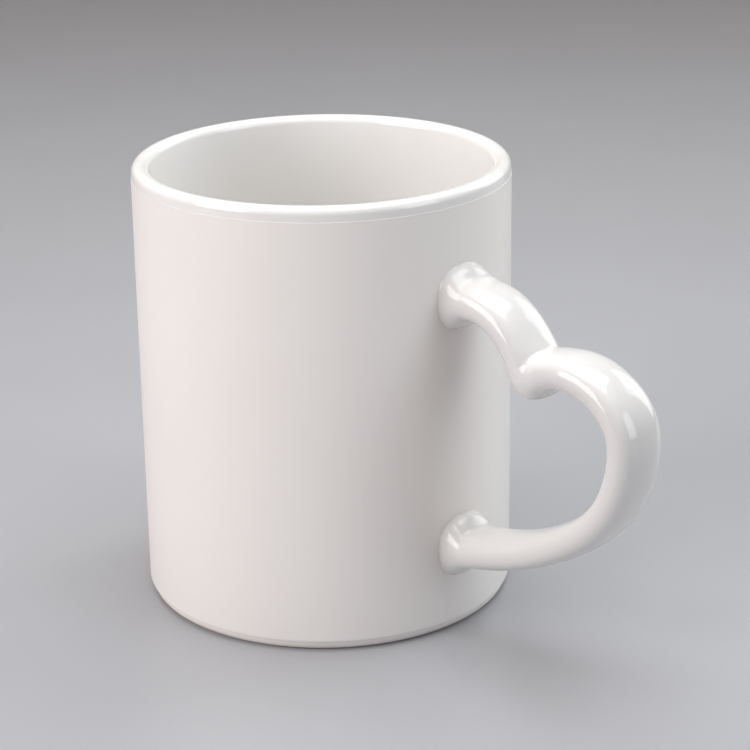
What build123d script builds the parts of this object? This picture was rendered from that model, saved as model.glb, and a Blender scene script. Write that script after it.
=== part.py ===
from build123d import *
import os
from math import ceil, cos, pi, radians, sin, tan

# A glazed ceramic mug, in millimetres. +Z is up, the handle points along +X, and the origin is
# the centre of the foot ring's resting face.

# ---------------------------------------------------------------- driving dimensions
mug_height = 98.0  # resting face to the top of the glazed lip
outside_diameter = 82.0  # over the print coating
wall_thickness = 2.9  # fired clay alone
floor_thickness = 4.6
lip_flat = 0.2  # what the two rounded edges leave of the lip's top
inner_corner_radius = 7.0
outer_corner_radius = 2.0
foot_ring_width = 3.2
foot_recess = 1.6
foot_edge_radius = 0.5
recess_corner_radius = 0.8

glaze_thickness = 0.4
rim_band = 6.0  # how far the rim glaze runs down each side of the lip
bare_foot_height = 2.1  # left unglazed, so that the mug doesn't stick in the kiln
base_glaze_gap = 0.4  # bare clay between the base glaze and the recess's rounded corner
coating_thickness = 0.12
coating_to_rim = 3.0  # glossy glaze left showing above the coating
coating_to_foot = 2.6

# The handle is an oval tube bent in the XZ plane. Its upper arm comes out of the wall and down to
# a tight corner, where its lower loop starts, goes up and round, and comes back to the wall.
handle_rise = 26.4  # the upper joint, above the middle of the mug
root_length = 4.8  # the straight stretch of the arm outside the wall
root_depth = 3.5  # how far the handle's shape runs on inside the wall, before it is trimmed
arm_rise = 2.8  # degrees above level, as the arm leaves the wall
arm_arcs = [(14.0, 49.0), (60.0, 9.5)]  # radius and turn in degrees, each bending down
corner_turn = 88.0  # degrees back up, from the arm into the loop
loop_arcs = [(16.6, 80.5), (10.5, 40.5), (26.0, 54.0), (64.0, 24.5)]
tube_height = 6.6  # across the oval in the plane of the bend
tube_width = 12.5
root_thickening = 0.8  # added to the half height at the wall
thickening_length = 20.0  # out from the wall, over which that fades away
tube_fullness = 0.69  # 0.55 is an ellipse, and more is squarer
corner_gap = 6.0  # from the corner to the nearest plain section, along each side
valley_reach = 4.8  # from the corner to the surface, above it and below it
cusp_reach = 5.2
section_spacing = 3.2
corner_steps = 2  # sections from the corner to each end of its gap
root_sections = 3
bead_outer_steps = 6  # sections from where the bead is wiped off to the wall
bead_inner_steps = 2  # and on inside the wall

# Where each end of the handle is stuck on, the slip squeezes out into a bead, which is wiped smooth.
bead_height = 2.4  # how far it widens the handle at the wall, above and below
bead_width = 0.3  # and to each side
bead_length = 5.4  # from the wall to where the bead is wiped off
bead_fullness = 1.4  # 1 is an even S from the wall out, and more holds its height further
bead_edge = 0.12  # what is left of its thickness there
lower_bead_lift = 0.7  # the lower bead sits this far above the middle of its joint, at the wall
slip_thickness = 0.6  # between the wall and the end of the handle

# ---------------------------------------------------------------- sizes that follow
outside_radius = outside_diameter / 2
glaze_radius = outside_radius - coating_thickness
body_radius = glaze_radius - glaze_thickness
cavity_radius = body_radius - wall_thickness
body_height = mug_height - glaze_thickness
floor_top = foot_recess + floor_thickness
foot_inner_radius = body_radius - outer_corner_radius - foot_ring_width
lip_radius = (wall_thickness - lip_flat) / 2
rim_glaze_bottom = mug_height - rim_band
upper_joint_z = mug_height / 2 + handle_rise
upper_slope = tan(radians(arm_rise))
root_step = (root_length + root_depth) / root_sections
bead_step = bead_length / bead_outer_steps


# ---------------------------------------------------------------- the handle's route
with BuildLine(Plane.XZ) as arm_route:
    arm_edges = [PolarLine((body_radius, upper_joint_z), root_length, arm_rise)]
    for bend_radius, bend_turn in arm_arcs:
        arm_edges.append(JernArc(arm_edges[-1] @ 1, arm_edges[-1] % 1, bend_radius, -bend_turn))

corner = arm_edges[-1] @ 1
arm_end_angle = arm_rise - sum(turn for _, turn in arm_arcs)
corner_angle = arm_end_angle + corner_turn / 2
loop_start_angle = arm_end_angle + corner_turn

with BuildLine(Plane.XZ) as loop_route:
    loop_edges = []
    loop_point = corner
    loop_heading = Vector(cos(radians(loop_start_angle)), 0, sin(radians(loop_start_angle)))
    for bend_radius, bend_turn in loop_arcs:
        loop_edges.append(JernArc(loop_point, loop_heading, bend_radius, -bend_turn))
        loop_point = loop_edges[-1] @ 1
        loop_heading = loop_edges[-1] % 1

lower_slope = loop_heading.Z / loop_heading.X
lower_joint_z = loop_point.Z - lower_slope * (loop_point.X - body_radius)
print(f"corner x {corner.X:.2f} z {corner.Z:.2f}, loop end x {loop_point.X:.2f}")
print(f"joints at z {upper_joint_z:.2f} and {lower_joint_z:.2f}")


def stations(edges, skip_start, skip_end):
    """Evenly spaced points and headings along the edges, leaving out a length at each end."""
    room = sum(edge.length for edge in edges) - skip_start - skip_end
    steps = ceil(room / section_spacing)
    found = []
    for step in range(steps + 1):
        place = skip_start + room * step / steps
        edge = edges[0]
        for following in edges[1:]:
            if place > edge.length:
                place -= edge.length
                edge = following
        share = min(place / edge.length, 1.0)
        found.append((edge @ share, edge % share))
    return found


def oval(origin, heading, half_height, half_width):
    """The tube's section, square to the heading: four smooth quarters, fuller than an ellipse."""
    tips = [(half_width, 0), (0, half_height), (-half_width, 0), (0, -half_height)]
    with BuildSketch(Plane(origin, x_dir=(0, 1, 0), z_dir=heading)) as section:
        with BuildLine():
            for (x0, y0), (x1, y1) in zip(tips, tips[1:] + tips[:1]):
                start_handle = (x0 + tube_fullness * x1, y0 + tube_fullness * y1)
                end_handle = (x1 + tube_fullness * x0, y1 + tube_fullness * y0)
                Bezier((x0, y0), start_handle, end_handle, (x1, y1))
        make_face()
    return section.sketch


def tube_half_height(outside):
    """Half the tube's height in the plane of the bend, at a distance outside the wall."""
    fade = max(0.0, 1 - max(outside, 0.0) / thickening_length)
    return tube_height / 2 + root_thickening * fade**2


def root_ovals(joint_z, slope, direction, swell):
    """Upright sections through one end of the handle, from just outside the wall to inside it."""
    ovals = []
    for step in range(root_sections):
        outside = root_length - root_step / 2 - root_step * step
        origin = (body_radius + outside, 0, joint_z + slope * outside)
        ovals.append(oval(origin, (direction, 0, 0), tube_half_height(outside) + swell, tube_width / 2 + swell))
    return ovals


def corner_ovals(swell):
    """Sections that fan round the corner, each reaching further towards the valley and the cusp."""
    half_height = tube_height / 2
    ovals = []
    for step in range(1 - corner_steps, corner_steps):
        share = step / corner_steps
        angle = radians(corner_angle + share * corner_turn / 2)
        heading = Vector(cos(angle), 0, sin(angle))
        upward = Vector(-heading.Z, 0, heading.X)
        side_angle = radians(loop_start_angle if step > 0 else arm_end_angle)
        along = Vector(cos(side_angle), 0, sin(side_angle)) * (share * corner_gap)
        swelling = (1 - abs(share)) ** 2
        above = half_height + (valley_reach - half_height) * swelling
        below = half_height + (cusp_reach - half_height) * swelling
        middle = corner + along + upward * ((above - below) / 2)
        ovals.append(oval(middle, heading, (above + below) / 2 + swell, tube_width / 2 + swell))
    return ovals


def tube(swell):
    """The whole handle, from inside the wall to inside the wall, grown by the swell."""
    half_width = tube_width / 2 + swell
    sections = root_ovals(upper_joint_z, upper_slope, 1, swell)[::-1]
    for place, direction in stations(arm_edges, root_length + root_step / 2, corner_gap):
        sections.append(oval(place, direction, tube_half_height(place.X - body_radius) + swell, half_width))
    sections += corner_ovals(swell)
    for place, direction in stations(loop_edges, corner_gap, 0):
        sections.append(oval(place, direction, tube_half_height(place.X - body_radius) + swell, half_width))
    sections += root_ovals(lower_joint_z, lower_slope, -1, swell)
    with BuildPart() as swept:
        loft(sections, clean=False)
    return swept.part


def bead(joint_z, slope, lift, swell):
    """The widening at one end of the handle, from where it is wiped off to inside the wall."""
    sections = []
    for step in range(bead_outer_steps + bead_inner_steps + 1):
        outside = bead_length - bead_step * step
        widening = (1 + cos(pi * (max(outside, 0) / bead_length) ** bead_fullness)) / 2
        half_height = tube_half_height(outside) + swell + bead_edge + (bead_height - bead_edge) * widening
        half_width = tube_width / 2 + swell + bead_edge + (bead_width - bead_edge) * widening
        origin = (body_radius + outside, 0, joint_z + slope * outside + lift * widening)
        sections.append(oval(origin, (-1, 0, 0), half_height, half_width))
    with BuildPart() as flare:
        loft(sections, clean=False)
    return flare.part


def level(height):
    """A level plane whose circles start and end on the side away from the handle."""
    return Plane((0, 0, height), x_dir=(-1, 0, 0), z_dir=(0, 0, 1))


def cylinder(radius, bottom, top):
    """A plain solid cylinder about the Z axis."""
    with BuildPart() as plug:
        with BuildSketch(level(bottom)):
            Circle(radius)
        extrude(amount=top - bottom)
    return plug.part


def slip(joint_z, slope, lift):
    """The slip between one end of the handle and the wall, out to where its bead is wiped off."""
    with BuildPart() as paste:
        add(bead(joint_z, slope, lift, 0))
        add(cylinder(body_radius, 0, mug_height), mode=Mode.SUBTRACT)
        add(handle.part, mode=Mode.SUBTRACT)
    return paste


# ---------------------------------------------------------------- the cup and its handle
with BuildPart() as cup_body:
    with BuildSketch(Plane.XZ):
        with BuildLine():
            Polyline(
                (0, foot_recess),
                (foot_inner_radius, foot_recess),
                (foot_inner_radius, 0),
                (body_radius, 0),
                (body_radius, body_height),
                (cavity_radius, body_height),
                (cavity_radius, floor_top),
                (0, floor_top),
                close=True,
            )
        make_face()
        fillet(vertices().sort_by_distance((foot_inner_radius, foot_recess))[0], recess_corner_radius)
        fillet(vertices().sort_by_distance((foot_inner_radius, 0))[0], foot_edge_radius)
        fillet(vertices().sort_by_distance((body_radius, 0))[0], outer_corner_radius)
        fillet(vertices().sort_by_distance((body_radius, body_height))[0], lip_radius)
        fillet(vertices().sort_by_distance((cavity_radius, body_height))[0], lip_radius)
        fillet(vertices().sort_by_distance((cavity_radius, floor_top))[0], inner_corner_radius)
    revolve(axis=Axis.Z)

with BuildPart() as handle:
    add(tube(0))
    add(cylinder(body_radius + slip_thickness, 0, mug_height), mode=Mode.SUBTRACT)

upper_joint_slip = slip(upper_joint_z, upper_slope, 0)
lower_joint_slip = slip(lower_joint_z, lower_slope, lower_bead_lift)

with BuildPart() as glazed_handle:
    add(tube(glaze_thickness))
    add(bead(upper_joint_z, upper_slope, 0, glaze_thickness))
    add(bead(lower_joint_z, lower_slope, lower_bead_lift, glaze_thickness))

# ---------------------------------------------------------------- the glaze and the coating
with BuildPart() as inside_glaze:
    with BuildSketch(Plane.XZ):
        with BuildLine():
            Polyline(
                (0, floor_top),
                (cavity_radius, floor_top),
                (cavity_radius, rim_glaze_bottom),
                (cavity_radius - glaze_thickness, rim_glaze_bottom),
                (cavity_radius - glaze_thickness, floor_top + glaze_thickness),
                (0, floor_top + glaze_thickness),
                close=True,
            )
        make_face()
        glaze_corner = (cavity_radius - glaze_thickness, floor_top + glaze_thickness)
        fillet(vertices().sort_by_distance(glaze_corner)[0], inner_corner_radius - glaze_thickness)
        fillet(vertices().sort_by_distance((cavity_radius, floor_top))[0], inner_corner_radius)
    revolve(axis=Axis.Z)

with BuildPart() as rim_glaze:
    with BuildSketch(Plane.XZ):
        with BuildLine():
            Polyline(
                (cavity_radius - glaze_thickness, rim_glaze_bottom),
                (cavity_radius - glaze_thickness, mug_height),
                (glaze_radius, mug_height),
                (glaze_radius, rim_glaze_bottom),
                (body_radius, rim_glaze_bottom),
                (body_radius, body_height),
                (cavity_radius, body_height),
                (cavity_radius, rim_glaze_bottom),
                close=True,
            )
        make_face()
        fillet(vertices().group_by(Axis.Y)[-1], lip_radius + glaze_thickness)
        fillet(vertices().sort_by_distance((body_radius, body_height))[0], lip_radius)
        fillet(vertices().sort_by_distance((cavity_radius, body_height))[0], lip_radius)
    revolve(axis=Axis.Z)

with BuildPart() as outside_glaze:
    with BuildSketch(level(bare_foot_height)):
        Circle(glaze_radius)
        Circle(body_radius, mode=Mode.SUBTRACT)
    extrude(amount=rim_glaze_bottom - bare_foot_height)
    add(glazed_handle.part, mode=Mode.SUBTRACT)

with BuildPart() as handle_glaze:
    add(glazed_handle.part)
    add(cylinder(body_radius, 0, mug_height), mode=Mode.SUBTRACT)
    add(handle.part, mode=Mode.SUBTRACT)
    add(upper_joint_slip.part, mode=Mode.SUBTRACT)
    add(lower_joint_slip.part, mode=Mode.SUBTRACT)

with BuildPart() as base_glaze:
    with BuildSketch(level(foot_recess - glaze_thickness)):
        Circle(foot_inner_radius - recess_corner_radius - base_glaze_gap)
    extrude(amount=glaze_thickness)

with BuildPart() as print_coating:
    with BuildSketch(level(coating_to_foot)):
        Circle(outside_radius)
        Circle(glaze_radius, mode=Mode.SUBTRACT)
    extrude(amount=mug_height - coating_to_rim - coating_to_foot)
    add(glazed_handle.part, mode=Mode.SUBTRACT)

# ---------------------------------------------------------------- the files
pieces = {
    "cup_body": cup_body,
    "handle": handle,
    "upper_joint_slip": upper_joint_slip,
    "lower_joint_slip": lower_joint_slip,
    "inside_glaze": inside_glaze,
    "rim_glaze": rim_glaze,
    "outside_glaze": outside_glaze,
    "handle_glaze": handle_glaze,
    "base_glaze": base_glaze,
    "print_coating": print_coating,
}
os.makedirs("parts", exist_ok=True)
for name, piece in pieces.items():
    piece.part.label = name
    export_step(piece.part, f"parts/{name}.step")
    print(name, len(piece.part.solids()), "solid", round(piece.part.volume), "mm3")
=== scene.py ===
# %% [markdown]
# # A glazed mug with a half-heart handle
#
# The mug is a fired stoneware cup with a handle stuck on, under coats of glossy glaze, with one thin
# satin coat on the outside wall. This lesson turns each round piece from its cross-section, pulls the
# handle out of one oval ring, and gives every surface a procedural finish of its own.

from math import atan2, cos, pi, radians, sin, sqrt, tan

import bmesh
import bpy
from mathutils import Matrix, Vector


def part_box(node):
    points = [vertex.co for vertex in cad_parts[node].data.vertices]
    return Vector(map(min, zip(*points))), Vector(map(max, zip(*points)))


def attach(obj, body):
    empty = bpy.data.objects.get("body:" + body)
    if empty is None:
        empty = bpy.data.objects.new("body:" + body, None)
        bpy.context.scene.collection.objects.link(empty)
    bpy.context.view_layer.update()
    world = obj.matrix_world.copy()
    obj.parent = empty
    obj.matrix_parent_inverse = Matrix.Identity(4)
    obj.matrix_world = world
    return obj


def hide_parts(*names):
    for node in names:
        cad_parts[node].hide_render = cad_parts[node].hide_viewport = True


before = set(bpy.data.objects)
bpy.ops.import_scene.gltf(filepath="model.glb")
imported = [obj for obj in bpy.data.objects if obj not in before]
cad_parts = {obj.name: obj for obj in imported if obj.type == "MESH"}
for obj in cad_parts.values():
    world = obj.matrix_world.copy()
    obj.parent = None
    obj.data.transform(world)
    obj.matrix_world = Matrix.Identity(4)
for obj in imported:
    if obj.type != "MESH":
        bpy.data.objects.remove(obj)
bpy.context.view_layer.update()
print("nodes:", ", ".join(sorted(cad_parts)))

# %% [markdown]
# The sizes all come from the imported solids' boxes, so that the pieces here meet the pieces there. The
# glaze's thickness is what the rim's top adds to the clay's top.

# %% Measure the solids
mm = 0.001


def top(node):
    """The height of a node's highest point."""
    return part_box(node)[1].z


def bottom(node):
    """The height of a node's lowest point."""
    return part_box(node)[0].z


def reach(node):
    """How far a round node reaches from the Z axis, on the side away from the handle."""
    return -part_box(node)[0].x


mug_height = top("rim_glaze")
glaze_thickness = mug_height - top("cup_body")
clay_radius = reach("cup_body")
glaze_radius = reach("rim_glaze")
coat_radius = reach("print_coating")
cavity_radius = reach("inside_glaze")
bore_radius = cavity_radius - glaze_thickness
floor_top = bottom("inside_glaze")
recess_top = top("base_glaze")
base_glaze_radius = reach("base_glaze")
print(f"height {mug_height / mm:.1f}, radius {coat_radius / mm:.2f}, bore {bore_radius / mm:.2f} mm")

# %% [markdown]
# ## The camera
#
# A camera can be aimed with a Track To constraint, but a product shot is easier to repeat from a few
# plain numbers: how far out and how high the camera stands, and its pan, pitch and roll. The
# matrices multiply in that order, and the first one walks the camera round the mug.

# %% The camera
camera_azimuth = 45.5  # degrees round from the side where the handle points right
camera_out = 0.47784  # metres from the mug's axis, and the angles below are in radians
camera_height = 0.22094
camera_pan = 0.02289
camera_pitch = 0.34765
camera_roll = -0.0141

scene = bpy.context.scene
camera = bpy.data.objects.new("camera", bpy.data.cameras.new("camera"))
scene.collection.objects.link(camera)
camera.data.lens = 109.46
camera.data.sensor_width = 36.0
camera.data.clip_start = 0.01
camera.matrix_world = (
    Matrix.Rotation(radians(camera_azimuth), 4, "Z")
    @ Matrix.Translation((0, -camera_out, camera_height))
    @ Matrix.Rotation(-camera_pan, 4, "Z")
    @ Matrix.Rotation(pi / 2 - camera_pitch, 4, "X")
    @ Matrix.Rotation(camera_roll, 4, "Z")
)
scene.camera = camera
scene.view_settings.view_transform = "Standard"
print("camera at", [round(value, 3) for value in camera.matrix_world.translation])

# %% [markdown]
# ## Two ways to make a mesh
#
# Everything here ends the same way: the normals are recalculated outwards, the faces are shaded
# smooth except where they meet at a real edge, and the object stays at the origin with its place in
# its mesh.

# %% Finish a mesh
sharp_angle = radians(38)


def finish_mesh(bm, name, material):
    """Turns the bmesh into an object at the origin, smooth except at its real edges."""
    bmesh.ops.recalc_face_normals(bm, faces=bm.faces)
    mesh = bpy.data.meshes.new(name)
    bm.to_mesh(mesh)
    bm.free()
    mesh.shade_smooth()
    mesh.set_sharp_from_angle(angle=sharp_angle)
    mesh.materials.append(material)
    piece = bpy.data.objects.new(name, mesh)
    scene.collection.objects.link(piece)
    return piece


# %% [markdown]
# A thrown or jiggered cup is a solid of revolution. A Screw modifier could turn it, but bmesh's spin
# keeps the mesh real from the start. The cross-section is drawn as one face, so that a vertex bevel
# can round its corners, and then only its outline is spun. The outline's edge on the axis is dropped
# first, since it would spin into nothing, and the pole's copies are merged.

# %% Turn a piece from its cross-section
turning_steps = 240
corner_steps = 10
merge_distance = 1e-7  # metres, for the copies that a spin leaves at a pole


def turned(name, corners, roundings, material):
    """A piece spun about Z from (radius, height) corners, with some of them rounded."""
    bm = bmesh.new()
    outline = [bm.verts.new((radius, 0, height)) for radius, height in corners]
    bm.faces.new(outline)
    for corner, rounding in roundings.items():
        bmesh.ops.bevel(
            bm, geom=[outline[corner]], offset=rounding, offset_type="OFFSET", affect="VERTICES",
            segments=corner_steps, profile=0.5, material=-1,
        )
    bmesh.ops.delete(bm, geom=bm.faces[:], context="FACES_ONLY")
    on_axis = [edge for edge in bm.edges if all(vert.co.x < merge_distance for vert in edge.verts)]
    bmesh.ops.delete(bm, geom=on_axis, context="EDGES")
    bmesh.ops.spin(
        bm, geom=bm.verts[:] + bm.edges[:], cent=(0, 0, 0), axis=(0, 0, 1), angle=2 * pi,
        steps=turning_steps, use_merge=True,
    )
    bmesh.ops.remove_doubles(bm, verts=bm.verts, dist=merge_distance)
    piece = finish_mesh(bm, name, material)
    print(name, len(piece.data.polygons), "faces")
    return piece


# %% [markdown]
# ## Node helpers
#
# A material is a small graph. These helpers add a node with its values in one call and join two
# sockets, so that the graphs below read as what they do.

# %% Helpers for nodes
def add_node(tree, kind, values=None, **settings):
    """A node with some properties set and some input sockets given plain values."""
    node = tree.nodes.new(kind)
    for key, value in settings.items():
        setattr(node, key, value)
    for socket, value in (values or {}).items():
        node.inputs[socket].default_value = value
    return node


def join(tree, source, target):
    """Joins an output socket to an input socket."""
    tree.links.new(source, target)


def new_group(name, inputs, outputs):
    """A shader node group with named sockets, and its input and output nodes."""
    group = bpy.data.node_groups.new(name, "ShaderNodeTree")
    for label, kind, value in inputs:
        socket = group.interface.new_socket(label, in_out="INPUT", socket_type=kind)
        if value is not None:
            socket.default_value = value
    for label, kind in outputs:
        group.interface.new_socket(label, in_out="OUTPUT", socket_type=kind)
    return group, group.nodes.new("NodeGroupInput"), group.nodes.new("NodeGroupOutput")


def use_group(tree, group, values):
    """Places a group in a tree with its own values."""
    node = tree.nodes.new("ShaderNodeGroup")
    node.node_tree = group
    for socket, value in values.items():
        node.inputs[socket].default_value = value
    return node


# %% [markdown]
# ## Specks
#
# Iron in the clay and dust in the kiln leave a few tiny dark specks in a white glaze, and gas leaves
# pinholes. A painted texture could hold them, but a Voronoi pattern puts one point in each cell, and
# the cell's random colour decides which cells have a speck at all and how large it is.

# %% The speck group
def make_speck_group():
    """Rare round specks: how far one shows at a point, and a matching dent."""
    group, given, made = new_group(
        "specks",
        [("Vector", "NodeSocketVector", None), ("Spacing", "NodeSocketFloat", 9.0),
         ("Size", "NodeSocketFloat", 0.2), ("Share", "NodeSocketFloat", 0.3)],
        [("Mask", "NodeSocketFloat"), ("Height", "NodeSocketFloat")],
    )
    per_metre = add_node(group, "ShaderNodeMath", {0: 1000.0}, operation="DIVIDE")
    join(group, given.outputs["Spacing"], per_metre.inputs[1])
    cells = add_node(group, "ShaderNodeTexVoronoi", {"Randomness": 1.0}, feature="F1")
    join(group, given.outputs["Vector"], cells.inputs["Vector"])
    join(group, per_metre.outputs[0], cells.inputs["Scale"])
    chance = add_node(group, "ShaderNodeSeparateColor")
    join(group, cells.outputs["Color"], chance.inputs[0])
    chosen = add_node(group, "ShaderNodeMath", operation="LESS_THAN")
    join(group, chance.outputs["Red"], chosen.inputs[0])
    join(group, given.outputs["Share"], chosen.inputs[1])
    relative = add_node(group, "ShaderNodeMath", operation="DIVIDE")
    join(group, given.outputs["Size"], relative.inputs[0])
    join(group, given.outputs["Spacing"], relative.inputs[1])
    own_size = add_node(group, "ShaderNodeMath", operation="MULTIPLY")
    join(group, relative.outputs[0], own_size.inputs[0])
    join(group, chance.outputs["Green"], own_size.inputs[1])
    fade = add_node(group, "ShaderNodeMapRange", {"To Min": 1.0, "To Max": 0.0})
    join(group, cells.outputs["Distance"], fade.inputs["Value"])
    join(group, own_size.outputs[0], fade.inputs["From Max"])
    shown = add_node(group, "ShaderNodeMath", operation="MULTIPLY")
    join(group, fade.outputs["Result"], shown.inputs[0])
    join(group, chosen.outputs[0], shown.inputs[1])
    join(group, shown.outputs[0], made.inputs["Mask"])
    dent = add_node(group, "ShaderNodeMath", {1: -1.0}, operation="MULTIPLY")
    join(group, shown.outputs[0], dent.inputs[0])
    join(group, dent.outputs[0], made.inputs["Height"])
    return group


specks = make_speck_group()
print("group:", specks.name, [item.name for item in specks.interface.items_tree])

# %% [markdown]
# ## Glaze flow
#
# A glaze melts and levels, but not perfectly: the surface keeps a very faint orange-peel waviness,
# and its colour is a touch warmer where the coat is thin and cooler where it has pooled. Two noises
# do both: a wide one tints, and a fine one added to a wide one waves.

# %% The glaze flow group
def make_flow_group():
    """Where the glaze is thick or thin, and the waviness of its surface."""
    group, given, made = new_group(
        "glaze_flow",
        [("Vector", "NodeSocketVector", None), ("Pool Size", "NodeSocketFloat", 30.0),
         ("Peel Size", "NodeSocketFloat", 3.0), ("Peel Share", "NodeSocketFloat", 0.25)],
        [("Thickness", "NodeSocketFloat"), ("Height", "NodeSocketFloat")],
    )
    pools = add_node(group, "ShaderNodeTexNoise", {"Detail": 2.0, "Roughness": 0.45})
    peel = add_node(group, "ShaderNodeTexNoise", {"Detail": 1.0, "Roughness": 0.4})
    for noise, size in ((pools, "Pool Size"), (peel, "Peel Size")):
        per_metre = add_node(group, "ShaderNodeMath", {0: 1000.0}, operation="DIVIDE")
        join(group, given.outputs[size], per_metre.inputs[1])
        join(group, per_metre.outputs[0], noise.inputs["Scale"])
        join(group, given.outputs["Vector"], noise.inputs["Vector"])
    spread = add_node(group, "ShaderNodeMapRange", {"From Min": 0.3, "From Max": 0.7})
    join(group, pools.outputs[0], spread.inputs["Value"])
    join(group, spread.outputs["Result"], made.inputs["Thickness"])
    fine = add_node(group, "ShaderNodeMath", operation="MULTIPLY")
    join(group, peel.outputs[0], fine.inputs[0])
    join(group, given.outputs["Peel Share"], fine.inputs[1])
    both = add_node(group, "ShaderNodeMath", operation="ADD")
    join(group, pools.outputs[0], both.inputs[0])
    join(group, fine.outputs[0], both.inputs[1])
    join(group, both.outputs[0], made.inputs["Height"])
    return group


glaze_flow = make_flow_group()
print("group:", glaze_flow.name, [item.name for item in glaze_flow.interface.items_tree])

# %% [markdown]
# ## Bands of wear and shade
#
# The foot ring is rubbed by every shelf and table, the lip by every lid and spoon, and glaze runs thin
# on an edge, while the satin coat's top edge gets a dark line of painted shade. All of these lie at a
# known height on a turned piece, so one group makes a band round the mug from the Object coordinates'
# Z, with a broken edge from a noise.

# %% The height band group
def make_band_group():
    """How far a point lies within a band of heights, with a ragged border."""
    group, given, made = new_group(
        "height_band",
        [("Vector", "NodeSocketVector", None), ("Middle", "NodeSocketFloat", 0.0),
         ("Half Width", "NodeSocketFloat", 1.0), ("Raggedness", "NodeSocketFloat", 0.5),
         ("Grain", "NodeSocketFloat", 2.0)],
        [("Mask", "NodeSocketFloat")],
    )
    split = add_node(group, "ShaderNodeSeparateXYZ")
    join(group, given.outputs["Vector"], split.inputs[0])
    height = add_node(group, "ShaderNodeMath", {1: 1000.0}, operation="MULTIPLY")
    join(group, split.outputs["Z"], height.inputs[0])
    away = add_node(group, "ShaderNodeMath", operation="SUBTRACT")
    join(group, height.outputs[0], away.inputs[0])
    join(group, given.outputs["Middle"], away.inputs[1])
    distance = add_node(group, "ShaderNodeMath", operation="ABSOLUTE")
    join(group, away.outputs[0], distance.inputs[0])
    per_metre = add_node(group, "ShaderNodeMath", {0: 1000.0}, operation="DIVIDE")
    join(group, given.outputs["Grain"], per_metre.inputs[1])
    noise = add_node(group, "ShaderNodeTexNoise", {"Detail": 3.0, "Roughness": 0.6})
    join(group, given.outputs["Vector"], noise.inputs["Vector"])
    join(group, per_metre.outputs[0], noise.inputs["Scale"])
    ragged = add_node(group, "ShaderNodeMath", operation="MULTIPLY_ADD")
    join(group, noise.outputs[0], ragged.inputs[0])
    join(group, given.outputs["Raggedness"], ragged.inputs[1])
    join(group, distance.outputs[0], ragged.inputs[2])
    fade = add_node(
        group, "ShaderNodeMapRange", {"To Min": 1.0, "To Max": 0.0}, interpolation_type="SMOOTHSTEP",
    )
    join(group, ragged.outputs[0], fade.inputs["Value"])
    join(group, given.outputs["Half Width"], fade.inputs["From Max"])
    join(group, fade.outputs["Result"], made.inputs["Mask"])
    return group


height_band = make_band_group()
print("groups:", [group.name for group in bpy.data.node_groups])

# %% [markdown]
# ## The finishes
#
# Every finish starts from Object coordinates and one Principled shader. One helper makes those, others
# lay a colour over another through a mask, vary the roughness and add a bump, and each finish then
# says only what is its own.

# %% Start a material
def start_material(name, roughness, **sockets):
    """A material with its tree, its shader and its Object coordinates."""
    material = bpy.data.materials.new(name)
    material.use_nodes = True
    tree = material.node_tree
    shader = tree.nodes["Principled BSDF"]
    shader.inputs["Roughness"].default_value = roughness
    for socket, value in sockets.items():
        shader.inputs[socket.replace("_", " ")].default_value = value
    coordinates = add_node(tree, "ShaderNodeTexCoord").outputs["Object"]
    return material, tree, shader, coordinates


def lay_over(tree, under, over, mask, strength=1.0):
    """One colour laid over another where the mask says, as a colour socket."""
    amount = add_node(tree, "ShaderNodeMath", {1: strength}, operation="MULTIPLY", use_clamp=True)
    join(tree, mask, amount.inputs[0])
    mix = add_node(tree, "ShaderNodeMix", data_type="RGBA")
    join(tree, amount.outputs[0], mix.inputs["Factor"])
    for side, colour in (("A", under), ("B", over)):
        socket = next(item for item in mix.inputs if item.name == side and item.type == "RGBA")
        if isinstance(colour, bpy.types.NodeSocket):
            join(tree, colour, socket)
        else:
            socket.default_value = colour
    return next(item for item in mix.outputs if item.type == "RGBA")


def vary_roughness(tree, shader, mask, low, high):
    """The shader's roughness, from low to high as the mask goes from 0 to 1."""
    spread = add_node(tree, "ShaderNodeMapRange", {"To Min": low, "To Max": high})
    join(tree, mask, spread.inputs["Value"])
    join(tree, spread.outputs["Result"], shader.inputs["Roughness"])


def add_bump(tree, shader, height, distance):
    """A bump of that many metres on the shader's normal."""
    bump = add_node(tree, "ShaderNodeBump", {"Strength": 1.0, "Distance": distance})
    join(tree, height, bump.inputs["Height"])
    join(tree, bump.outputs["Normal"], shader.inputs["Normal"])


def sum_heights(tree, first, second, share):
    """The first height plus a share of the second."""
    add = add_node(tree, "ShaderNodeMath", {1: share}, operation="MULTIPLY_ADD")
    join(tree, second, add.inputs[0])
    join(tree, first, add.inputs[2])
    return add.outputs[0]


# %% [markdown]
# ** Glossy glaze** covers the lip, the inside, the handle, the base, and the outside wall under the
# satin coat. It is a white glass over pale clay: bright and nearly neutral where it is thick, a little
# warmer where it is thin, and sharp enough in gloss to mirror the softboxes. It comes in three kinds:
# the inside's waves the most, the handle's is a darker copy with painted shade that keeps its lit
# patches from going white, and the one for all the rest wears at the lip.

# %% Glossy glaze
worn_lip = (0.62, 0.57, 0.50, 1)
iron_speck = (0.23, 0.19, 0.15, 1)


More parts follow.
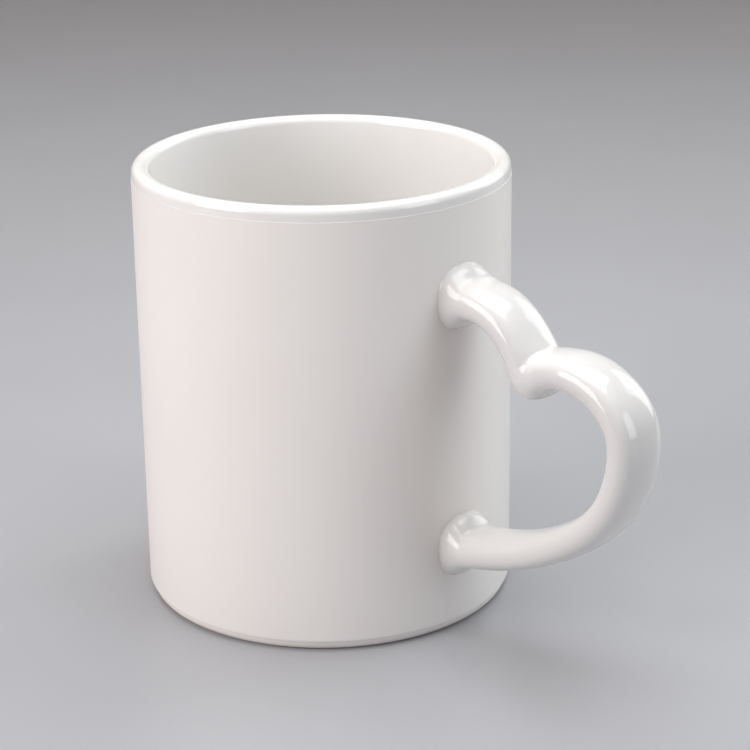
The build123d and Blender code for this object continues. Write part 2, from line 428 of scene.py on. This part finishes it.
def make_glaze(name, thick, thin, peel_size, wave, rough_low, rough_high, lip_wear):
    """A white glossy glaze with pools, specks and a faint waviness."""
    material, tree, shader, coordinates = start_material(name, rough_low, IOR=1.52)
    flow = use_group(tree, glaze_flow, {"Pool Size": 26.0, "Peel Size": peel_size, "Peel Share": 0.12})
    dots = use_group(tree, specks, {"Spacing": 11.0, "Size": 0.32, "Share": 0.3})
    edge = use_group(
        tree, height_band,
        {"Middle": mug_height / mm, "Half Width": 0.9, "Raggedness": 0.8, "Grain": 5.0},
    )
    for group in (flow, dots, edge):
        join(tree, coordinates, group.inputs["Vector"])
    colour = lay_over(tree, thin, thick, flow.outputs["Thickness"])
    colour = lay_over(tree, colour, worn_lip, edge.outputs["Mask"], lip_wear)
    colour = lay_over(tree, colour, iron_speck, dots.outputs["Mask"], 0.6)
    join(tree, colour, shader.inputs["Base Color"])
    vary_roughness(tree, shader, flow.outputs["Thickness"], rough_high, rough_low)
    add_bump(tree, shader, sum_heights(tree, flow.outputs["Height"], dots.outputs["Height"], 0.2), wave)
    return material


glaze_thick = (0.865, 0.848, 0.832, 1)
glaze_thin = (0.855, 0.828, 0.802, 1)
# The handle's glaze is the same glaze painted darker: painted shade that keeps its lit top short of full
# white.
handle_shaded_thick = (0.735, 0.717, 0.707, 1)
handle_shaded_thin = (0.725, 0.698, 0.680, 1)
rim_finish = make_glaze(
    "glossy_glaze", glaze_thick, glaze_thin, peel_size=3.0, wave=0.00006,
    rough_low=0.07, rough_high=0.12, lip_wear=0.35,
)
inside_finish = make_glaze(
    "inside_glaze", glaze_thick, glaze_thin, peel_size=3.5, wave=0.00010,
    rough_low=0.08, rough_high=0.14, lip_wear=0.0,
)
# The handle's kind is the darker copy, with painted shade in its colour.
shaded_handle_finish = make_glaze(
    "handle_glaze", handle_shaded_thick, handle_shaded_thin, peel_size=2.5, wave=0.00009,
    rough_low=0.06, rough_high=0.11, lip_wear=0.0,
)
print("glazes:", rim_finish.name, inside_finish.name, shaded_handle_finish.name)

# %% [markdown]
# ** The satin coat** is a thin polymer baked on over the glaze. It is a little duller than glaze, with
# a very fine tooth, a faint cloudiness from spraying, and a few dust motes caught in it. A dark line of
# painted shade runs along its top edge. Light on it spreads into wide soft bands, which only the
# roughness can give.

# %% Satin coat
coat_thin = (0.870, 0.825, 0.792, 1)
coat_thick = (0.880, 0.840, 0.809, 1)
# A darker grey along the coat's top edge: painted shade for the line that the edge's step casts.
coat_edge_shade = (0.72, 0.69, 0.67, 1)
dust_mote = (0.30, 0.27, 0.25, 1)


def make_coat():
    """The satin polymer coat on the outside wall."""
    material, tree, shader, coordinates = start_material("satin_coat", 0.34, IOR=1.48)
    flow = use_group(tree, glaze_flow, {"Pool Size": 34.0, "Peel Size": 0.9, "Peel Share": 0.06})
    dots = use_group(tree, specks, {"Spacing": 16.0, "Size": 0.5, "Share": 0.35})
    # The band at the coat's top edge is painted shade.
    edge = use_group(
        tree, height_band,
        {"Middle": top("print_coating") / mm, "Half Width": 0.5, "Raggedness": 0.3, "Grain": 3.0},
    )
    for group in (flow, dots, edge):
        join(tree, coordinates, group.inputs["Vector"])
    colour = lay_over(tree, coat_thin, coat_thick, flow.outputs["Thickness"])
    colour = lay_over(tree, colour, coat_edge_shade, edge.outputs["Mask"], 0.6)
    colour = lay_over(tree, colour, dust_mote, dots.outputs["Mask"], 0.55)
    join(tree, colour, shader.inputs["Base Color"])
    vary_roughness(tree, shader, flow.outputs["Thickness"], 0.30, 0.38)
    add_bump(tree, shader, sum_heights(tree, flow.outputs["Height"], dots.outputs["Height"], -0.3), 0.00004)
    return material


coat_finish = make_coat()
print("coat:", coat_finish.name)

# %% [markdown]
# **Bare clay** shows only on the foot ring, where glaze would have stuck the mug to the kiln shelf. It
# is matt and a little sandy, with the ring's edge polished and greyed by use. The slip at the joints is
# the same clay with a coarser grain, and no wear reaches it.

# %% Bare clay
ore_speck = (0.35, 0.27, 0.19, 1)
rubbed_foot = (0.42, 0.39, 0.36, 1)


def make_clay(name, pale, dark, grain, wear):
    """Fired clay with a sandy grain, worn where it stands."""
    material, tree, shader, coordinates = start_material(name, 0.8)
    sand = add_node(tree, "ShaderNodeTexNoise", {"Scale": grain, "Detail": 5.0, "Roughness": 0.65})
    dots = use_group(tree, specks, {"Spacing": 2.5, "Size": 0.5, "Share": 0.4})
    foot = use_group(
        tree, height_band, {"Middle": 0.0, "Half Width": 0.8, "Raggedness": 0.7, "Grain": 4.0}
    )
    for node in (sand, dots, foot):
        join(tree, coordinates, node.inputs["Vector"])
    colour = lay_over(tree, dark, pale, sand.outputs[0])
    colour = lay_over(tree, colour, ore_speck, dots.outputs["Mask"], 0.7)
    colour = lay_over(tree, colour, rubbed_foot, foot.outputs["Mask"], wear)
    join(tree, colour, shader.inputs["Base Color"])
    vary_roughness(tree, shader, foot.outputs["Mask"], 0.85, 0.55)
    add_bump(tree, shader, sum_heights(tree, sand.outputs[0], dots.outputs["Height"], 0.5), 0.00012)
    return material


clay_dark = (0.80, 0.74, 0.69, 1)
clay_finish = make_clay("bare_stoneware", (0.87, 0.82, 0.78, 1), clay_dark, grain=1400.0, wear=0.25)
slip_finish = make_clay("luting_slip", (0.86, 0.81, 0.77, 1), clay_dark, grain=700.0, wear=0.0)
print("clays:", clay_finish.name, slip_finish.name)

# %% [markdown]
# ## The cup
#
# The fired cup is one turned piece: foot ring, wall, rounded lip and floor. Under the glaze only its
# bare foot shows, but the whole cross-section is turned, so that the piece is the real one.

# %% Turn the cup
foot_ring_width = 3.2 * mm
outer_foot_rounding = 2.0 * mm
inner_foot_rounding = 0.5 * mm
recess_rounding = 0.8 * mm
inner_floor_rounding = 7.0 * mm
lip_flat = 0.2 * mm  # what the two rounded edges leave of the lip's top
lip_rounding = (clay_radius - cavity_radius - lip_flat) / 2
foot_inner_radius = clay_radius - outer_foot_rounding - foot_ring_width

cup = turned(
    "stoneware_cup",
    [(0, recess_top), (foot_inner_radius, recess_top), (foot_inner_radius, 0), (clay_radius, 0),
     (clay_radius, top("cup_body")), (cavity_radius, top("cup_body")), (cavity_radius, floor_top),
     (0, floor_top)],
    {1: recess_rounding, 2: inner_foot_rounding, 3: outer_foot_rounding, 4: lip_rounding,
     5: lip_rounding, 6: inner_floor_rounding},
    clay_finish,
)
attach(cup, "root")
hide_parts("cup_body")

# %% [markdown]
# ## The glaze on the cup
#
# The real glaze is one skin, poured inside and dipped outside, which runs over the lip. It is turned
# as the solids have it, in coats that meet edge to edge: the inside, the band over the lip, the
# outside wall and the disc under the base. Each is a closed ring with its real thickness.

# %% Turn the glaze inside
inside = turned(
    "glaze_inside",
    [(0, floor_top), (cavity_radius, floor_top), (cavity_radius, top("inside_glaze")),
     (bore_radius, top("inside_glaze")), (bore_radius, floor_top + glaze_thickness),
     (0, floor_top + glaze_thickness)],
    {1: inner_floor_rounding, 4: inner_floor_rounding - glaze_thickness},
    inside_finish,
)
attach(inside, "root")
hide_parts("inside_glaze")

# %% Turn the glaze over the lip
rim_bottom = bottom("rim_glaze")
rim = turned(
    "glaze_rim",
    [(bore_radius, rim_bottom), (bore_radius, mug_height), (glaze_radius, mug_height),
     (glaze_radius, rim_bottom), (clay_radius, rim_bottom), (clay_radius, top("cup_body")),
     (cavity_radius, top("cup_body")), (cavity_radius, rim_bottom)],
    {1: lip_rounding + glaze_thickness, 2: lip_rounding + glaze_thickness, 5: lip_rounding,
     6: lip_rounding},
    rim_finish,
)
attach(rim, "root")
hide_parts("rim_glaze")

# %% [markdown]
# The glaze is wiped back from the foot before firing, and melts to a rounded edge there. The satin coat
# stops short of both the lip and the foot, and its sprayed edge thins out rather than ending square,
# so both edges get a rounding of nearly their own thickness.

# %% Turn the glaze outside and the satin coat
edge_share = 0.8  # of a coat's thickness
melted_edge = edge_share * glaze_thickness
wall_glaze = turned(
    "glaze_outside",
    [(clay_radius, bottom("outside_glaze")), (glaze_radius, bottom("outside_glaze")),
     (glaze_radius, top("outside_glaze")), (clay_radius, top("outside_glaze"))],
    {1: melted_edge},
    rim_finish,
)
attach(wall_glaze, "root")
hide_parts("outside_glaze")

sprayed_edge = edge_share * (coat_radius - glaze_radius)
coat = turned(
    "satin_print_coat",
    [(glaze_radius, bottom("print_coating")), (coat_radius, bottom("print_coating")),
     (coat_radius, top("print_coating")), (glaze_radius, top("print_coating"))],
    {1: sprayed_edge, 2: sprayed_edge},
    coat_finish,
)
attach(coat, "root")
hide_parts("print_coating")

# %% Turn the glaze under the base
base = turned(
    "glaze_base",
    [(0, bottom("base_glaze")), (base_glaze_radius, bottom("base_glaze")),
     (base_glaze_radius, recess_top), (0, recess_top)],
    {1: melted_edge},
    rim_finish,
)
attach(base, "root")
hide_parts("base_glaze")

# %% [markdown]
# ## The handle
#
# The handle is half a heart: an arm that comes out of the wall and bends down, a tight corner, and a
# round loop that runs back to the wall. A curve with a bevel could sweep it, but its section changes
# all the way: it is thicker at the wall, flares where the slip was wiped, and folds at the corner.
# So it is a row of oval ribs. Each rib says where its middle is, which way the handle runs there, and
# its half height and half width.
#
# The route is walked along its arcs. Seen from the side, an arc of a given radius turns the heading to
# the right, and each step along it is a rotation about the arc's centre.

# %% Walk along the handle's arcs
arm_rise = radians(2.8)
arm_arcs = [(14.0, 49.0), (60.0, 9.5)]  # millimetres and degrees
corner_turn = radians(88.0)
loop_arcs = [(16.6, 80.5), (10.5, 40.5), (26.0, 54.0), (64.0, 24.5)]
rib_spacing = 2.4 * mm


def ahead(heading):
    """The direction of a heading, in the upright plane of the handle."""
    return Vector((cos(heading), 0, sin(heading)))


def above(heading):
    """Square to the heading, on its left."""
    return Vector((-sin(heading), 0, cos(heading)))


def walk(place, heading, arcs):
    """Places and headings along arcs that turn right, from the first to the last."""
    found = [(place, heading)]
    for radius, turn in arcs:
        centre = place - above(heading) * radius * mm
        steps = max(1, round(radius * mm * radians(turn) / rib_spacing))
        for step in range(1, steps + 1):
            angle = heading - radians(turn) * step / steps
            found.append((centre + above(angle) * radius * mm, angle))
        place, heading = found[-1]
    return found


root_length = 4.8 * mm
slip_low, slip_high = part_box("upper_joint_slip")
upper_joint = Vector((clay_radius, 0, (slip_low.z + slip_high.z) / 2))
arm_start = upper_joint + ahead(arm_rise) * root_length
arm = walk(arm_start, arm_rise, arm_arcs)
corner, arm_heading = arm[-1]
loop = walk(corner, arm_heading + corner_turn, loop_arcs)
print(f"corner at x {corner.x / mm:.2f} z {corner.z / mm:.2f}, loop ends at x {loop[-1][0].x / mm:.2f}")

# %% [markdown]
# The ribs stand out from the clay by the glaze's thickness. Catmull-Clark smoothing pulls an oval of
# this many sides in a little, and the ribs are made larger by as much.

# %% Size the ribs
oval_sides = 28
smoothing_shrink = (4 + 2 * cos(2 * pi / oval_sides)) / 6
tube_half_height = 3.3 * mm + glaze_thickness
tube_half_width = 6.25 * mm + glaze_thickness
root_thickening = 0.8 * mm
thickening_length = 20.0 * mm
bead_height = 2.4 * mm
bead_width = 0.3 * mm
bead_length = 5.4 * mm


def half_height_at(outside):
    """Half the handle's height at a distance outside the clay wall."""
    fade = max(0.0, 1 - max(outside, 0.0) / thickening_length)
    return tube_half_height + root_thickening * fade**2


def rib(place, heading, half_height, half_width):
    """The matrix that lays a rib of unit size in its place."""
    forward, upward = ahead(heading), above(heading)
    wide = half_width / smoothing_shrink
    high = half_height / smoothing_shrink
    return Matrix((
        (0, upward.x * high, forward.x, place.x),
        (wide, 0, 0, place.y),
        (0, upward.z * high, forward.z, place.z),
        (0, 0, 0, 1),
    ))


# %% [markdown]
# At the wall the ribs stand upright. The squeezed-out slip makes a soft bead there, wiped into the tube
# along an S, so the ribs stay large at first and then come down smoothly to the plain tube. The ribs
# nearest the wall turn out a little and sink into it, which gives the joint the small soft hollow that
# glaze leaves. The lower bead sits slightly above the middle of its joint.

# %% Ribs at a joint
root_places = [-1.2, -0.4, 0.1, 0.7, 1.4, 2.1, 2.8, 3.5, 4.2, 4.8]  # millimetres outside the clay
bead_fullness = 1.4  # 1 is an even S from the wall out, and more holds its height further
meniscus_height = 0.35 * mm
meniscus_length = 1.0 * mm


def root_ribs(joint, slope, heading, lift):
    """Upright ribs from inside the wall outwards, at one end of the handle."""
    ribs = []
    for place in root_places:
        outside = place * mm
        fullness = (1 + cos(pi * (max(outside, 0.0) / bead_length) ** bead_fullness)) / 2
        meniscus = meniscus_height * max(0.0, 1 - max(outside, 0.0) / meniscus_length) ** 2
        taller = bead_height * fullness + meniscus
        wider = bead_width * fullness + meniscus
        middle = joint + Vector((outside, 0, slope * outside + lift * fullness))
        ribs.append(rib(middle, heading, half_height_at(outside) + taller, tube_half_width + wider))
    return ribs


# %% [markdown]
# At the corner the ribs fan out like an opened book. Their upper ends crowd together in the crease of
# the valley, and their lower ends reach down to the point of the heart's notch. The reaches are those
# of a rib in the very middle of the fan. There is none there, because it would sharpen the crease, so
# the smoothed skin comes to less.

# %% Ribs at the corner
corner_gap = 6.0 * mm  # along each side of the corner, where the fan takes over from plain ribs
nearest_share = 0.95  # of that gap, so that a plain rib just inside its end stays
valley_reach = 4.2 * mm
cusp_reach = 9.0 * mm
fan_shares = [-0.55, -0.27, 0.27, 0.55]  # of the way from the corner to the end of the gap


def corner_ribs():
    """Ribs that fan round the corner."""
    ribs = []
    fan_heading = arm_heading + corner_turn / 2
    for share in fan_shares:
        heading = fan_heading + share * corner_turn / 2
        side = arm_heading + (corner_turn if share > 0 else 0.0)
        swelling = (1 - abs(share)) ** 2
        upper = tube_half_height + (valley_reach + glaze_thickness - tube_half_height) * swelling
        lower = tube_half_height + (cusp_reach + glaze_thickness - tube_half_height) * swelling
        middle = corner + ahead(side) * share * corner_gap + above(heading) * (upper - lower) / 2
        ribs.append(rib(middle, heading, (upper + lower) / 2, tube_half_width))
    return ribs


def along(route):
    """Plain ribs along a walked route, clear of the corner and of the wall."""
    ribs = []
    for place, heading in route:
        outside = place.x - clay_radius
        if (place - corner).length > corner_gap * nearest_share and outside > root_length:
            ribs.append(rib(place, heading, half_height_at(outside), tube_half_width))
    return ribs


loop_end, loop_heading = loop[-1]
lower_slope = tan(loop_heading)
lower_joint = loop_end + Vector((1, 0, lower_slope)) * (clay_radius - loop_end.x)
slip_low, slip_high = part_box("lower_joint_slip")
lower_lift = (slip_low.z + slip_high.z) / 2 - lower_joint.z
ribs = root_ribs(upper_joint, tan(arm_rise), 0.0, 0.0) + along(arm) + corner_ribs() + along(loop)

# From the loop's end a straight stretch runs in to the joint, and its ribs turn upright on the way.
run_in_steps = 3
run_in = (loop_end.x - clay_radius - root_length) / run_in_steps
for step in range(1, run_in_steps):
    place = loop_end - Vector((run_in * step, 0, lower_slope * run_in * step))
    heading = loop_heading + (-pi - loop_heading) * step / run_in_steps
    ribs.append(rib(place, heading, half_height_at(place.x - clay_radius), tube_half_width))
ribs += root_ribs(lower_joint, lower_slope, -pi, lower_lift)[::-1]
print(len(ribs), "ribs")

# %% [markdown]
# One ring is drawn and shaped to the oval, a little fuller than an ellipse. It is then extruded from
# rib to rib: each new ring is moved by the matrix that takes the last rib to the next one. Near the
# wall the rings are bent to follow the round wall, so that the joint hugs it.

# %% Pull the handle through its ribs
oval_fullness = 0.69  # 0.55 is an ellipse, and more is squarer
hug_length = 4.0 * mm


def shape_oval(verts):
    """Moves a unit circle's vertices on to the fuller oval, quarter by quarter."""
    for vert in verts:
        quarter, share = divmod(atan2(vert.co.y, vert.co.x) % (2 * pi) / (pi / 2), 1)
        rest = 1 - share
        along_x = rest**3 + 3 * rest**2 * share + 3 * rest * share**2 * oval_fullness
        along_y = share**3 + 3 * share**2 * rest + 3 * share * rest**2 * oval_fullness
        vert.co = Matrix.Rotation(quarter * pi / 2, 3, "Z") @ Vector((along_x, along_y, 0))


def hug_wall(verts):
    """Bends the rings near the wall to follow its round."""
    for vert in verts:
        outside = vert.co.x - clay_radius
        weight = min(1.0, max(0.0, 1 - outside / hug_length))
        vert.co.x -= weight * (coat_radius - sqrt(coat_radius**2 - vert.co.y**2))


def pull_handle():
    """The glazed handle as one closed skin."""
    bm = bmesh.new()
    bmesh.ops.create_circle(bm, cap_ends=True, radius=1.0, segments=oval_sides)
    shape_oval(bm.verts)
    bmesh.ops.transform(bm, matrix=ribs[0], verts=bm.verts)
    ring = bm.edges[:]
    for here, there in zip(ribs, ribs[1:]):
        grown = bmesh.ops.extrude_edge_only(bm, edges=ring)["geom"]
        ring_verts = [item for item in grown if isinstance(item, bmesh.types.BMVert)]
        ring = [edge for edge in {edge for vert in ring_verts for edge in vert.link_edges}
                if all(vert in ring_verts for vert in edge.verts)]
        bmesh.ops.transform(bm, matrix=there @ here.inverted(), verts=ring_verts)
    bmesh.ops.contextual_create(bm, geom=ring)
    hug_wall(bm.verts)
    return finish_mesh(bm, "glaze_handle", shaded_handle_finish)


handle = pull_handle()
smoothing_levels = 2
smoothing = handle.modifiers.new("smoothing", "SUBSURF")
smoothing.levels = smoothing_levels
smoothing.render_levels = smoothing_levels
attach(handle, "root")
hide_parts("handle_glaze")
print("handle", len(handle.data.polygons), "faces before smoothing")

# %% [markdown]
# The clay handle and the two joints' slip lie under that glaze, and their shapes are right, so the
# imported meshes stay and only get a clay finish.

# %% Finish the hidden clay
hidden = {"handle": clay_finish, "upper_joint_slip": slip_finish, "lower_joint_slip": slip_finish}
for node, finish in hidden.items():
    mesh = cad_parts[node].data
    mesh.materials.clear()
    mesh.materials.append(finish)
print("under the glaze:", ", ".join(hidden))

# %% [markdown]
# ## The studio
#
# The floor is one smooth sheet that sweeps up into the backdrop all the way round, so that no view
# shows a horizon. It is turned like the mug, from a line with one rounded corner.

# %% The floor and the sweep
paper_dark = (0.395, 0.395, 0.418, 1)
paper_pale = (0.420, 0.420, 0.443, 1)
floor_radius = 2.2
sweep_radius = 1.0
sweep_top = 3.0
sweep_steps = 16
stage_steps = 96


def make_floor_finish():
    """Pale satin paper with a faint mottle."""
    material, tree, shader, coordinates = start_material("studio_floor", 0.4, IOR=1.4)
    mottle = add_node(tree, "ShaderNodeTexNoise", {"Scale": 18.0, "Detail": 4.0, "Roughness": 0.6})
    join(tree, coordinates, mottle.inputs["Vector"])
    colour = lay_over(tree, paper_dark, paper_pale, mottle.outputs[0])
    join(tree, colour, shader.inputs["Base Color"])
    vary_roughness(tree, shader, mottle.outputs[0], 0.30, 0.42)
    return material


def make_stage():
    """A floor that curves up into a wall all round."""
    bm = bmesh.new()
    middle = bm.verts.new((0, 0, 0))
    bend = bm.verts.new((floor_radius, 0, 0))
    rim = bm.verts.new((floor_radius, 0, sweep_top))
    bm.faces.new((middle, bend, rim))
    bmesh.ops.bevel(
        bm, geom=[bend], offset=sweep_radius, offset_type="OFFSET", affect="VERTICES",
        segments=sweep_steps, profile=0.5, material=-1,
    )
    bmesh.ops.delete(bm, geom=bm.faces[:], context="FACES_ONLY")
    slanting = [edge for edge in bm.edges if middle in edge.verts and rim in edge.verts]
    bmesh.ops.delete(bm, geom=slanting, context="EDGES")
    bmesh.ops.spin(
        bm, geom=bm.verts[:] + bm.edges[:], cent=(0, 0, 0), axis=(0, 0, 1), angle=2 * pi,
        steps=stage_steps, use_merge=True,
    )
    bmesh.ops.remove_doubles(bm, verts=bm.verts, dist=merge_distance)
    return finish_mesh(bm, "studio_sweep", make_floor_finish())


stage = make_stage()
print("stage:", stage.name, len(stage.data.polygons), "faces")

# %% [markdown]
# ## The lights
#
# Four softboxes and a warm surround. The key stands to the left of the camera and makes the wall's
# long soft gradient. The overhead box makes the pool of light on the floor and the bright patches on
# the glossy handle. A weak box on the right keeps that side from going dark, and one behind the handle
# lights its edge. All but the key have a honeycomb on the front, which is what spread means, so that
# they leave the backdrop dark. Their places are given round the mug from the camera, because that is
# how lights are set up in a studio.

# %% Place the softboxes
def softbox(name, azimuth, out, height, width, tall, spread, brightness, colour, aim):
    """A rectangular light, azimuth degrees to the right of the camera, turned to a point on the axis."""
    data = bpy.data.lights.new(name, "AREA")
    data.shape = "RECTANGLE"
    data.size = width
    data.size_y = tall
    data.energy = brightness * pi * width * tall
    data.color = colour
    data.spread = radians(spread)
    light = bpy.data.objects.new(name, data)
    scene.collection.objects.link(light)
    angle = radians(camera_azimuth + azimuth)
    place = Vector((out * sin(angle), -out * cos(angle), height))
    light.location = place
    light.rotation_euler = (Vector((0, 0, aim)) - place).to_track_quat("-Z", "Y").to_euler()
    light.visible_camera = False


softbox(
    "key_box", azimuth=-62, out=1.10, height=0.50, width=0.7, tall=0.8, spread=180, brightness=5.5,
    colour=(1.0, 0.965, 0.965), aim=0.06,
)
softbox(
    "top_box", azimuth=160, out=0.08, height=0.65, width=0.6, tall=0.6, spread=140, brightness=2.0,
    colour=(0.90, 0.96, 1.0), aim=0.0,
)
softbox(
    "right_box", azimuth=60, out=1.1, height=0.45, width=0.5, tall=0.7, spread=90, brightness=0.84,
    colour=(0.84, 0.92, 1.0), aim=0.05,
)
softbox(
    "edge_box", azimuth=125, out=1.1, height=0.50, width=0.6, tall=0.8, spread=70, brightness=0.50,
    colour=(0.94, 1.0, 0.97), aim=0.05,
)

world = bpy.data.worlds.new("studio")
scene.world = world
world.use_nodes = True
surround = world.node_tree.nodes["Background"]
surround.inputs["Color"].default_value = (1.0, 0.92, 0.82, 1)
surround.inputs["Strength"].default_value = 0.87
print("lights:", [light.name for light in bpy.data.lights])

# %% [markdown]
# ## Finish

# %% Finish
bpy.context.view_layer.update()
